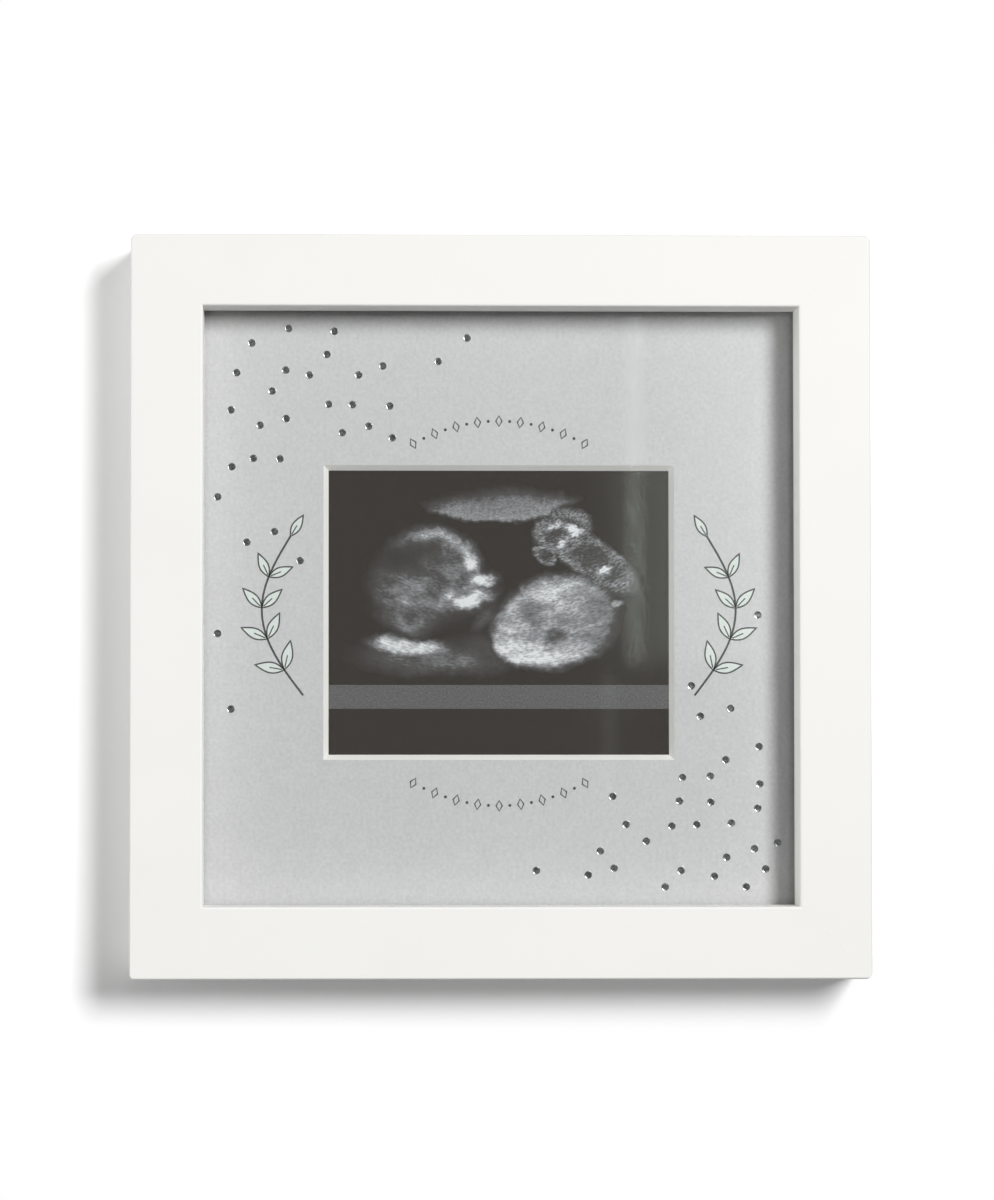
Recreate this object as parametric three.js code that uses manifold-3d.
// A square white box frame for a scan print, standing upright on its bottom rail.
// Millimetres, +Z up, the front faces -Y and the back, with its strut, faces +Y.
// The origin is the middle of the bottom rail's underside.

import * as THREE from 'three';
import { ConvexGeometry } from 'three/addons/geometries/ConvexGeometry.js';
import { mergeVertices } from 'three/addons/utils/BufferGeometryUtils.js';
import Module from 'manifold-3d';

const wasm = await Module();
wasm.setup();

// Moulding
const FRAME_WIDTH = 200;
const FRAME_HEIGHT = 201;
const RAIL_FACE = 19.5;
const REBATE_WIDTH = 6;
const LIP_DEPTH = 12;
const EDGE_RADIUS = 0.6;
const CORNER_RADIUS = 1.8;
const MITRE_GAP = 0.006;

// Corner nails, bent to a right angle
const CORNER_NAIL_LEG = 4.5;
const CORNER_NAIL_THICKNESS = 0.5;
const CORNER_NAIL_HEIGHT = 10;

// Glass, mount, picture, card, spacers and back board, from the front to the back
const GLASS_THICKNESS = 2;
const MAT_THICKNESS = 1.4;
const WINDOW_WIDTH = 96;
const WINDOW_HEIGHT = 80.6;
const WINDOW_DROP = 1.3;
const PRINT_THICKNESS = 0.25;
const PRINT_OVERLAP = 6;
const CARD_THICKNESS = 2;
const SPACER_WIDTH = 8;
const SPACER_DEPTH = 3.45;
const BOARD_THICKNESS = 3;
const BOARD_RECESS = 0.3;
const RIM_CLEARANCE = 0.5;
const SHEET_GAP = 0.1;

// Strut and its hinge
const HINGE_DROP = 55;
const HINGE_WIDTH = 30;
const MIDDLE_KNUCKLE_WIDTH = 10;
const KNUCKLE_GAP = 0.3;
const LEAF_HEIGHT = 14;
const LEAF_THICKNESS = 0.65;
const PIN_CLEARANCE = 0.15;
const PIN_HEAD_LENGTH = 0.6;
const STRUT_OPENING_DEGREES = 30;
const STOP_CLEARANCE = 0.15;
const STRUT_THICKNESS = 2.5;
const STRUT_GAP = 0.3;
const STRUT_TOP_MARGIN = 3;
const STRUT_FOOT_WIDTH = 56;
const STRUT_FOOT_CLEARANCE = 5;
const STRUT_FOOT_RADIUS = 4;

// Rivets through the hinge leaves
const RIVET_RADIUS = 1.1;
const RIVET_HEAD_RADIUS = 2.3;
const RIVET_HEAD_HEIGHT = 0.8;
const RIVET_EDGE = 5.5;

// Turn buttons and their screws
const BUTTON_INSET = 60;
const BUTTON_WIDTH = 9;
const BUTTON_TIP_WIDTH = 6;
const BUTTON_THICKNESS = 1;
const BUTTON_OVERLAP = 5;
const SCREW_RADIUS = 1.5;
const SCREW_LENGTH = 9;
const SCREW_POINT = 2;
const SCREW_HEAD_RADIUS = 3;
const SCREW_HEAD_HEIGHT = 1.6;
const SCREW_RECESS_LENGTH = 3;
const SCREW_RECESS_WIDTH = 0.8;
const SCREW_RECESS_DEPTH = 0.9;

// Sawtooth hanger and its nails
const HANGER_LENGTH = 44;
const HANGER_HEIGHT = 9;
const HANGER_THICKNESS = 0.8;
const HANGER_END = 9;
const HANGER_RAMP = 3;
const HANGER_RISE = 1.4;
const TOOTH_PITCH = 3;
const TOOTH_WIDTH = 2.4;
const TOOTH_DEPTH = 1.5;
const HANGER_NAIL_RADIUS = 0.7;
const HANGER_NAIL_LENGTH = 9;
const HANGER_NAIL_POINT = 1.5;
const HANGER_NAIL_HEAD_RADIUS = 1.8;
const HANGER_NAIL_HEAD_HEIGHT = 0.7;

// Clearance of a fastener in its hole, and of flat metal on what it lies on
const HOLE_CLEARANCE = 0.3;
const SEAT_GAP = 0.1;

// Facets
const EDGE_SEGMENTS = 3;
const ROUND_SEGMENTS = 16;
const KNUCKLE_SEGMENTS = 20;
const CUT_OVERSHOOT = 1;

// Depths of the stack, measured from the front face
const glassFront = LIP_DEPTH + SHEET_GAP;
const matFront = glassFront + GLASS_THICKNESS + SHEET_GAP;
const printFront = matFront + MAT_THICKNESS + SHEET_GAP;
const cardFront = printFront + PRINT_THICKNESS + SHEET_GAP;
const spacerFront = cardFront + CARD_THICKNESS + SHEET_GAP;
const boardFront = spacerFront + SPACER_DEPTH + SHEET_GAP;
const frameDepth = boardFront + BOARD_THICKNESS + BOARD_RECESS;

// Places that follow from the sizes
const railBack = RAIL_FACE - REBATE_WIDTH;
const railMiddle = railBack / 2;
const frontY = -frameDepth / 2;
const backY = frameDepth / 2;
const boardBackY = backY - BOARD_RECESS;
const sheetWidth = FRAME_WIDTH - 2 * (railBack + RIM_CLEARANCE);
const sheetHeight = FRAME_HEIGHT - 2 * (railBack + RIM_CLEARANCE);
const middleZ = FRAME_HEIGHT / 2;
const windowZ = middleZ - WINDOW_DROP;
const hingeZ = FRAME_HEIGHT - HINGE_DROP;
const strutFrontY = backY + STRUT_GAP;
const strutBackY = strutFrontY + STRUT_THICKNESS;
const knuckleRadius = (BOARD_RECESS + STRUT_GAP + STRUT_THICKNESS + LEAF_THICKNESS) / 2;
const knuckleBore = knuckleRadius - LEAF_THICKNESS;
const pinRadius = knuckleBore - PIN_CLEARANCE;
const pinY = boardBackY + SEAT_GAP + knuckleRadius;
const rivetX = HINGE_WIDTH / 2 - RIVET_EDGE;
const rivetRise = LEAF_HEIGHT - RIVET_EDGE;

// Finishes
function finish(color, roughness, metalness) {
  return new THREE.MeshStandardMaterial({ color, roughness, metalness });
}

const whitePaint = finish(0xf4f3ef, 0.5, 0);
const clearGlass = finish(0xeef3f1, 0.05, 0);
const greyMountBoard = finish(0xcdcecd, 0.85, 0);
const thermalPaper = finish(0x403c39, 0.35, 0);
const backingCard = finish(0xc9bda6, 0.9, 0);
const fibreboard = finish(0xa98a63, 0.85, 0);
const zincPlate = finish(0xb8bbbd, 0.35, 1);
const brassPlate = finish(0xb79a58, 0.35, 1);

// A closed geometry as a solid that can be joined and cut
function solidOf(geometry) {
  const bare = geometry.clone();
  bare.deleteAttribute('normal');
  bare.deleteAttribute('uv');
  const merged = mergeVertices(bare);
  const corners = merged.index.array;
  const kept = [];
  for (let i = 0; i < corners.length; i += 3) {
    const [a, b, c] = [corners[i], corners[i + 1], corners[i + 2]];
    if (a !== b && b !== c && c !== a) {
      kept.push(a, b, c);
    }
  }
  return new wasm.Manifold(new wasm.Mesh({
    numProp: 3,
    vertProperties: new Float32Array(merged.attributes.position.array),
    triVerts: new Uint32Array(kept),
  }));
}

function geometryOf(solid) {
  const mesh = solid.getMesh();
  const geometry = new THREE.BufferGeometry();
  geometry.setAttribute('position', new THREE.BufferAttribute(mesh.vertProperties, mesh.numProp));
  geometry.setIndex(new THREE.BufferAttribute(mesh.triVerts, 1));
  geometry.computeVertexNormals();
  return geometry;
}

function cut(geometry, tools) {
  let solid = solidOf(geometry);
  for (const tool of tools) {
    solid = solid.subtract(solidOf(tool));
  }
  return geometryOf(solid);
}

function join(geometries) {
  let solid = solidOf(geometries[0]);
  for (const geometry of geometries.slice(1)) {
    solid = solid.add(solidOf(geometry));
  }
  return geometryOf(solid);
}

// An outline drawn in the front view, x across and z up, given a thickness in y from nearY
function plate(outline, nearY, thickness) {
  const geometry = new THREE.ExtrudeGeometry(outline, {
    depth: thickness,
    bevelEnabled: false,
    curveSegments: ROUND_SEGMENTS,
  });
  geometry.rotateX(Math.PI / 2);
  geometry.translate(0, nearY + thickness, 0);
  return geometry;
}

// An outline drawn in the side view, y across and z up, given a length in x from startX
function bar(outline, startX, length, curveSegments) {
  const geometry = new THREE.ExtrudeGeometry(outline, {
    depth: length,
    bevelEnabled: false,
    curveSegments,
  });
  const sideways = new THREE.Matrix4().makeBasis(
    new THREE.Vector3(0, 1, 0),
    new THREE.Vector3(0, 0, 1),
    new THREE.Vector3(1, 0, 0),
  );
  geometry.applyMatrix4(sideways);
  geometry.translate(startX, 0, 0);
  return geometry;
}

function block(lowX, highX, lowY, highY, lowZ, highZ) {
  const geometry = new THREE.BoxGeometry(highX - lowX, highY - lowY, highZ - lowZ);
  geometry.translate((lowX + highX) / 2, (lowY + highY) / 2, (lowZ + highZ) / 2);
  return geometry;
}

// A turned piece along y: radius and y of each corner of its profile, from the axis to the axis
function turned(profile) {
  const points = profile.map(([radius, y]) => new THREE.Vector2(radius, y));
  return new THREE.LatheGeometry(points, ROUND_SEGMENTS);
}

function holeAlongY(radius, x, z, lowY, highY) {
  const geometry = new THREE.CylinderGeometry(radius, radius, highY - lowY, ROUND_SEGMENTS);
  geometry.translate(x, (lowY + highY) / 2, z);
  return geometry;
}

function outlineOf(points) {
  return new THREE.Shape(points.map(([across, up]) => new THREE.Vector2(across, up)));
}

const photoFrame = new THREE.Group();
photoFrame.name = 'ultrasound_photo_frame';

function addPiece(name, geometry, material, x = 0, y = 0, z = 0, turn = 0) {
  const piece = new THREE.Mesh(geometry, material);
  piece.name = name;
  piece.position.set(x, y, z);
  piece.rotation.y = turn;
  photoFrame.add(piece);
}

// Corner nails: an angle with one leg in each rail, drawn from the frame's corner, inwards along both rails
function cornerNailOutline(clearance) {
  const low = railMiddle - CORNER_NAIL_THICKNESS / 2 - clearance;
  const high = railMiddle + CORNER_NAIL_THICKNESS / 2 + clearance;
  const end = railMiddle + CORNER_NAIL_LEG + clearance;
  return [[low, low], [end, low], [end, high], [high, high], [high, end], [low, end]];
}

function cornerNailPocket(cornerX, inwards) {
  const outline = cornerNailOutline(HOLE_CLEARANCE);
  const placed = outline.map(([along, up]) => [cornerX + inwards * along, up]);
  const pocketDepth = CORNER_NAIL_HEIGHT + HOLE_CLEARANCE;
  return plate(outlineOf(placed), backY - pocketDepth, pocketDepth + CUT_OVERSHOOT);
}

// Rails: the rebated section with eased front edges, drawn with the outer edge at the bottom
function railSection() {
  const section = new THREE.Shape();
  section.moveTo(backY, 0);
  section.lineTo(backY, railBack);
  section.lineTo(frontY + LIP_DEPTH, railBack);
  section.lineTo(frontY + LIP_DEPTH, RAIL_FACE);
  section.lineTo(frontY + EDGE_RADIUS, RAIL_FACE);
  section.absarc(frontY + EDGE_RADIUS, RAIL_FACE - EDGE_RADIUS, EDGE_RADIUS, Math.PI / 2, Math.PI);
  section.lineTo(frontY, EDGE_RADIUS);
  section.absarc(frontY + EDGE_RADIUS, EDGE_RADIUS, EDGE_RADIUS, Math.PI, Math.PI * 1.5);
  section.lineTo(backY, 0);
  return section;
}

// The rail's outline from the front: mitred at 45 degrees, its two outer corners rounded
function railOutline(length) {
  const mitreShift = MITRE_GAP * Math.SQRT1_2;
  const end = length / 2;
  const inner = RAIL_FACE + CUT_OVERSHOOT;
  const cornerX = end - mitreShift - CORNER_RADIUS;
  const innerX = end - mitreShift - inner;
  const outline = new THREE.Shape();
  outline.absarc(-cornerX, CORNER_RADIUS, CORNER_RADIUS, Math.PI * 1.25, Math.PI * 1.5);
  outline.absarc(cornerX, CORNER_RADIUS, CORNER_RADIUS, Math.PI * 1.5, Math.PI * 1.75);
  outline.lineTo(innerX, inner);
  outline.lineTo(-innerX, inner);
  return outline;
}

function railGeometry(length, holes) {
  const stick = bar(railSection(), -length / 2, length, EDGE_SEGMENTS);
  const outline = plate(railOutline(length), frontY - CUT_OVERSHOOT, frameDepth + 2 * CUT_OVERSHOOT);
  let rail = solidOf(stick).intersect(solidOf(outline));
  const pockets = [cornerNailPocket(-length / 2, 1), cornerNailPocket(length / 2, -1)];
  for (const tool of pockets.concat(holes)) {
    rail = rail.subtract(solidOf(tool));
  }
  return geometryOf(rail);
}

// Holes in a rail for fasteners driven in from the back, at distances from the rail's middle
function fastenerHoles(distances, radius, length) {
  const low = backY - length - HOLE_CLEARANCE;
  return distances.map((along) => (
    holeAlongY(radius + HOLE_CLEARANCE, along, railMiddle, low, backY + CUT_OVERSHOOT)
  ));
}

const buttonDistance = middleZ - BUTTON_INSET;
const hangerNailDistance = HANGER_LENGTH / 2 - HANGER_END / 2;
const screwPlaces = [-buttonDistance, buttonDistance];
const hangerNailPlaces = [-hangerNailDistance, hangerNailDistance];
const screwHoles = fastenerHoles(screwPlaces, SCREW_RADIUS, SCREW_LENGTH);
const nailHoles = fastenerHoles(hangerNailPlaces, HANGER_NAIL_RADIUS, HANGER_NAIL_LENGTH);
const rails = [
  ['rail_bottom', FRAME_WIDTH, [], 0, 0, 0],
  ['rail_top', FRAME_WIDTH, nailHoles, 0, FRAME_HEIGHT, Math.PI],
  ['rail_left', FRAME_HEIGHT, screwHoles, -FRAME_WIDTH / 2, middleZ, Math.PI / 2],
  ['rail_right', FRAME_HEIGHT, screwHoles, FRAME_WIDTH / 2, middleZ, -Math.PI / 2],
];
for (const [name, length, holes, x, z, turn] of rails) {
  addPiece(name, railGeometry(length, holes), whitePaint, x, 0, z, turn);
}

const cornerNail = plate(outlineOf(cornerNailOutline(0)), backY - CORNER_NAIL_HEIGHT, CORNER_NAIL_HEIGHT);
const corners = [
  ['bottom_left', -FRAME_WIDTH / 2, 0, 0],
  ['top_left', -FRAME_WIDTH / 2, FRAME_HEIGHT, Math.PI / 2],
  ['top_right', FRAME_WIDTH / 2, FRAME_HEIGHT, Math.PI],
  ['bottom_right', FRAME_WIDTH / 2, 0, -Math.PI / 2],
];
for (const [place, x, z, turn] of corners) {
  addPiece(`corner_nail_${place}`, cornerNail, zincPlate, x, 0, z, turn);
}

// Sheets that lie in the rebate, one behind the other
function sheet(front, thickness) {
  const lowZ = middleZ - sheetHeight / 2;
  const lowY = frontY + front;
  return block(-sheetWidth / 2, sheetWidth / 2, lowY, lowY + thickness, lowZ, lowZ + sheetHeight);
}

// The window's cutter widens towards the front at 45 degrees, so the board shows its bevelled edge
function windowCutter() {
  const points = [];
  const faceY = frontY + matFront;
  for (const depth of [-CUT_OVERSHOOT, MAT_THICKNESS + CUT_OVERSHOOT]) {
    const halfWidth = WINDOW_WIDTH / 2 - depth;
    const halfHeight = WINDOW_HEIGHT / 2 - depth;
    for (const x of [-halfWidth, halfWidth]) {
      for (const rise of [-halfHeight, halfHeight]) {
        points.push(new THREE.Vector3(x, faceY + depth, windowZ + rise));
      }
    }
  }
  return new ConvexGeometry(points);
}

function printGeometry() {
  const halfWidth = WINDOW_WIDTH / 2 - MAT_THICKNESS + PRINT_OVERLAP;
  const halfHeight = WINDOW_HEIGHT / 2 - MAT_THICKNESS + PRINT_OVERLAP;
  const lowY = frontY + printFront;
  const highY = lowY + PRINT_THICKNESS;
  return block(-halfWidth, halfWidth, lowY, highY, windowZ - halfHeight, windowZ + halfHeight);
}

addPiece('glass_pane', sheet(glassFront, GLASS_THICKNESS), clearGlass);
addPiece('mat', cut(sheet(matFront, MAT_THICKNESS), [windowCutter()]), greyMountBoard);
addPiece('scan_print', printGeometry(), thermalPaper);
addPiece('backing_card', sheet(cardFront, CARD_THICKNESS), backingCard);

// Spacer strips: the lower and upper ones run the full width, and the upright ones fit between them
const spacerLowZ = middleZ - sheetHeight / 2;
const spacerHighZ = middleZ + sheetHeight / 2;
const uprightLowZ = spacerLowZ + SPACER_WIDTH + SHEET_GAP;
const uprightHighZ = spacerHighZ - SPACER_WIDTH - SHEET_GAP;
const spacerOuterX = sheetWidth / 2;
const spacerInnerX = spacerOuterX - SPACER_WIDTH;
const spacers = [
  ['bottom', -spacerOuterX, spacerOuterX, spacerLowZ, spacerLowZ + SPACER_WIDTH],
  ['top', -spacerOuterX, spacerOuterX, spacerHighZ - SPACER_WIDTH, spacerHighZ],
  ['left', -spacerOuterX, -spacerInnerX, uprightLowZ, uprightHighZ],
  ['right', spacerInnerX, spacerOuterX, uprightLowZ, uprightHighZ],
];
for (const [place, lowX, highX, lowZ, highZ] of spacers) {
  const lowY = frontY + spacerFront;
  addPiece(`spacer_${place}`, block(lowX, highX, lowY, lowY + SPACER_DEPTH, lowZ, highZ), fibreboard);
}

// Rivet holes on both sides of the hinge's middle, at a height above or below the pin
function rivetHoles(rise, lowY, highY) {
  return [-rivetX, rivetX].map((x) => (
    holeAlongY(RIVET_RADIUS + HOLE_CLEARANCE, x, hingeZ + rise, lowY, highY)
  ));
}

const boardHoles = rivetHoles(rivetRise, frontY + boardFront - CUT_OVERSHOOT, boardBackY + CUT_OVERSHOOT);
addPiece('back_board', cut(sheet(boardFront, BOARD_THICKNESS), boardHoles), fibreboard);

// Strut: a tapered board that hangs from the hinge over the back board, with a rounded foot
function strutGeometry() {
  const topZ = hingeZ - knuckleRadius - KNUCKLE_GAP;
  const halfTop = HINGE_WIDTH / 2 + STRUT_TOP_MARGIN;
  const halfFoot = STRUT_FOOT_WIDTH / 2;
  const footZ = STRUT_FOOT_CLEARANCE;
  const outline = new THREE.Shape();
  outline.moveTo(-halfTop, topZ);
  outline.lineTo(-halfFoot, footZ + STRUT_FOOT_RADIUS);
  outline.quadraticCurveTo(-halfFoot, footZ, -halfFoot + STRUT_FOOT_RADIUS, footZ);
  outline.lineTo(halfFoot - STRUT_FOOT_RADIUS, footZ);
  outline.quadraticCurveTo(halfFoot, footZ, halfFoot, footZ + STRUT_FOOT_RADIUS);
  outline.lineTo(halfTop, topZ);
  const holes = rivetHoles(-rivetRise, strutFrontY - CUT_OVERSHOOT, strutBackY + CUT_OVERSHOOT);
  return cut(plate(outline, strutFrontY, STRUT_THICKNESS), holes);
}
addPiece('strut', strutGeometry(), fibreboard);

// Hinge: leaves of sheet metal whose knuckles curl round the pin
function knuckle(startX, width) {
  const ring = new THREE.Shape();
  ring.absarc(pinY, hingeZ, knuckleRadius, 0, Math.PI * 2);
  const bore = new THREE.Path();
  bore.absarc(pinY, hingeZ, knuckleBore, 0, Math.PI * 2);
  ring.holes.push(bore);
  return bar(ring, startX, width, KNUCKLE_SEGMENTS);
}

const sideKnuckleWidth = (HINGE_WIDTH - MIDDLE_KNUCKLE_WIDTH) / 2;
const leafClear = knuckleRadius + KNUCKLE_GAP;
const plateLowY = pinY - knuckleRadius;
const plateHighY = pinY - knuckleBore;
const leafLowY = pinY + knuckleBore;
const leafHighY = pinY + knuckleRadius;

// The leaf on the board: a plate above the pin and a knuckle at each side
function hingePlateGeometry() {
  const half = HINGE_WIDTH / 2;
  const topZ = hingeZ + LEAF_HEIGHT;
  const pieces = [block(-half, half, plateLowY, plateHighY, hingeZ + leafClear, topZ)];
  for (const startX of [-half, half - sideKnuckleWidth]) {
    const endX = startX + sideKnuckleWidth;
    pieces.push(block(startX, endX, plateLowY, plateHighY, hingeZ, topZ));
    pieces.push(knuckle(startX, sideKnuckleWidth));
  }
  return cut(join(pieces), rivetHoles(rivetRise, plateLowY - CUT_OVERSHOOT, plateHighY + CUT_OVERSHOOT));
}

// The leaf on the strut: the middle knuckle runs on above the pin as a tongue.
// The tongue meets the plate on the board when the strut is fully open.
function strutLeafGeometry() {
  const opening = THREE.MathUtils.degToRad(STRUT_OPENING_DEGREES);
  const tongueRise = (knuckleBore * (1 + Math.cos(opening)) - STOP_CLEARANCE) / Math.sin(opening);
  const half = HINGE_WIDTH / 2;
  const middleHalf = MIDDLE_KNUCKLE_WIDTH / 2 - KNUCKLE_GAP;
  const lowZ = hingeZ - LEAF_HEIGHT;
  const pieces = [
    block(-half, half, leafLowY, leafHighY, lowZ, hingeZ - leafClear),
    block(-middleHalf, middleHalf, leafLowY, leafHighY, lowZ, hingeZ + tongueRise),
    knuckle(-middleHalf, 2 * middleHalf),
  ];
  return cut(join(pieces), rivetHoles(-rivetRise, leafLowY - CUT_OVERSHOOT, leafHighY + CUT_OVERSHOOT));
}

// The pin, with a flattened head past each end of the hinge
function hingePinGeometry() {
  const half = HINGE_WIDTH / 2 + SEAT_GAP;
  const pin = turned([
    [0, -half - PIN_HEAD_LENGTH],
    [knuckleBore, -half - PIN_HEAD_LENGTH],
    [knuckleBore, -half],
    [pinRadius, -half],
    [pinRadius, half],
    [knuckleBore, half],
    [knuckleBore, half + PIN_HEAD_LENGTH],
    [0, half + PIN_HEAD_LENGTH],
  ]);
  pin.rotateZ(-Math.PI / 2);
  return pin;
}

// Rivets: a low dome on the leaf over a shank that is clinched flush on the far side
function rivetGeometry(farY, nearY) {
  return turned([
    [0, farY],
    [RIVET_RADIUS, farY],
    [RIVET_RADIUS, nearY],
    [RIVET_HEAD_RADIUS, nearY],
    [RIVET_HEAD_RADIUS, nearY + RIVET_HEAD_HEIGHT / 2],
    [RIVET_RADIUS, nearY + RIVET_HEAD_HEIGHT],
    [0, nearY + RIVET_HEAD_HEIGHT],
  ]);
}

addPiece('hinge_plate', hingePlateGeometry(), zincPlate);
addPiece('strut_leaf', strutLeafGeometry(), zincPlate);
addPiece('hinge_pin', hingePinGeometry(), zincPlate, 0, pinY, hingeZ);
const boardRivet = rivetGeometry(frontY + boardFront, plateHighY + SEAT_GAP);
const strutRivet = rivetGeometry(strutFrontY, leafHighY + SEAT_GAP);
for (const [side, x] of [['left', -rivetX], ['right', rivetX]]) {
  addPiece(`plate_rivet_${side}`, boardRivet, zincPlate, x, 0, hingeZ + rivetRise);
  addPiece(`strut_rivet_${side}`, strutRivet, zincPlate, x, 0, hingeZ - rivetRise);
}

// Turn buttons: a drop-shaped plate that turns on its screw and reaches over the board's edge
const buttonLowY = backY + SEAT_GAP;
const buttonHighY = buttonLowY + BUTTON_THICKNESS;
const buttonReach = railMiddle + RIM_CLEARANCE + BUTTON_OVERLAP;

function buttonGeometry() {
  const wide = BUTTON_WIDTH / 2;
  const tip = BUTTON_TIP_WIDTH / 2;
  const tipCentre = buttonReach - tip;
  const tangent = Math.acos((wide - tip) / tipCentre);
  const outline = new THREE.Shape();
  outline.absarc(0, 0, wide, tangent, Math.PI * 2 - tangent);
  outline.absarc(tipCentre, 0, tip, -tangent, tangent);
  const hole = new THREE.Path();
  hole.absarc(0, 0, SCREW_RADIUS + HOLE_CLEARANCE, 0, Math.PI * 2);
  outline.holes.push(hole);
  return plate(outline, buttonLowY, BUTTON_THICKNESS);
}

// Screws: a pan head with a cross recess over a plain shank that ends in a point
function screwGeometry() {
  const headY = buttonHighY + SEAT_GAP;
  const topY = headY + SCREW_HEAD_HEIGHT;
  const tipY = backY - SCREW_LENGTH;
  const screw = turned([
    [0, tipY],
    [SCREW_RADIUS, tipY + SCREW_POINT],
    [SCREW_RADIUS, headY],
    [SCREW_HEAD_RADIUS, headY],
    [SCREW_HEAD_RADIUS, headY + SCREW_HEAD_HEIGHT / 2],
    [(SCREW_HEAD_RADIUS + SCREW_RADIUS) / 2, topY],
    [0, topY],
  ]);
  const long = SCREW_RECESS_LENGTH / 2;
  const narrow = SCREW_RECESS_WIDTH / 2;
  const floorY = topY - SCREW_RECESS_DEPTH;
  const mouthY = topY + CUT_OVERSHOOT;
  const across = block(-long, long, floorY, mouthY, -narrow, narrow);
  const upright = block(-narrow, narrow, floorY, mouthY, -long, long);
  return cut(screw, [across, upright]);
}

const button = buttonGeometry();
const screw = screwGeometry();
const buttonX = FRAME_WIDTH / 2 - railMiddle;
for (const [side, x, turn] of [['left', -buttonX, 0], ['right', buttonX, Math.PI]]) {
  for (const [level, z] of [['lower', middleZ - buttonDistance], ['upper', middleZ + buttonDistance]]) {
    addPiece(`turn_button_${side}_${level}`, button, brassPlate, x, 0, z, turn);
    addPiece(`button_screw_${side}_${level}`, screw, brassPlate, x, 0, z);
  }
}

// Sawtooth hanger: a strip raised in the middle, with teeth along the raised lower edge
function hangerGeometry() {
  const half = HANGER_LENGTH / 2;
  const foot = half - HANGER_END;
  const crown = foot - HANGER_RAMP;
  const lowY = backY + SEAT_GAP;
  const raisedY = lowY + HANGER_RISE;
  const leftHalf = [[-half, lowY], [-foot, lowY], [-crown, raisedY]];
  const rightHalf = leftHalf.map(([x, y]) => [-x, y]).reverse();
  const under = leftHalf.concat(rightHalf);
  const over = under.map(([x, y]) => [x, y + HANGER_THICKNESS]).reverse();
  const strip = new THREE.ExtrudeGeometry(outlineOf(under.concat(over)), {
    depth: HANGER_HEIGHT,
    bevelEnabled: false,
  });
  const bottomZ = FRAME_HEIGHT - railMiddle - HANGER_HEIGHT / 2;
  strip.translate(0, 0, bottomZ);
  const tools = hangerNailPlaces.map((x) => (
    holeAlongY(
      HANGER_NAIL_RADIUS + HOLE_CLEARANCE,
      x,
      FRAME_HEIGHT - railMiddle,
      lowY - CUT_OVERSHOOT,
      raisedY + CUT_OVERSHOOT,
    )
  ));
  const toothCount = Math.floor((2 * crown) / TOOTH_PITCH);
  for (let tooth = 0; tooth < toothCount; tooth += 1) {
    const middle = (tooth - (toothCount - 1) / 2) * TOOTH_PITCH;
    const slope = TOOTH_WIDTH / 2 / TOOTH_DEPTH;
    const mouth = slope * (TOOTH_DEPTH + CUT_OVERSHOOT);
    const notch = outlineOf([
      [middle - mouth, bottomZ - CUT_OVERSHOOT],
      [middle + mouth, bottomZ - CUT_OVERSHOOT],
      [middle, bottomZ + TOOTH_DEPTH],
    ]);
    tools.push(plate(notch, lowY - CUT_OVERSHOOT, HANGER_RISE + HANGER_THICKNESS + 2 * CUT_OVERSHOOT));
  }
  return cut(strip, tools);
}

function hangerNailGeometry() {
  const headY = backY + SEAT_GAP + HANGER_THICKNESS + SEAT_GAP;
  const tipY = backY - HANGER_NAIL_LENGTH;
  return turned([
    [0, tipY],
    [HANGER_NAIL_RADIUS, tipY + HANGER_NAIL_POINT],
    [HANGER_NAIL_RADIUS, headY],
    [HANGER_NAIL_HEAD_RADIUS, headY],
    [HANGER_NAIL_HEAD_RADIUS, headY + HANGER_NAIL_HEAD_HEIGHT],
    [0, headY + HANGER_NAIL_HEAD_HEIGHT],
  ]);
}

addPiece('sawtooth_hanger', hangerGeometry(), zincPlate);
const hangerNail = hangerNailGeometry();
for (const [side, x] of [['left', -hangerNailDistance], ['right', hangerNailDistance]]) {
  addPiece(`hanger_nail_${side}`, hangerNail, zincPlate, x, 0, FRAME_HEIGHT - railMiddle);
}

export default photoFrame;
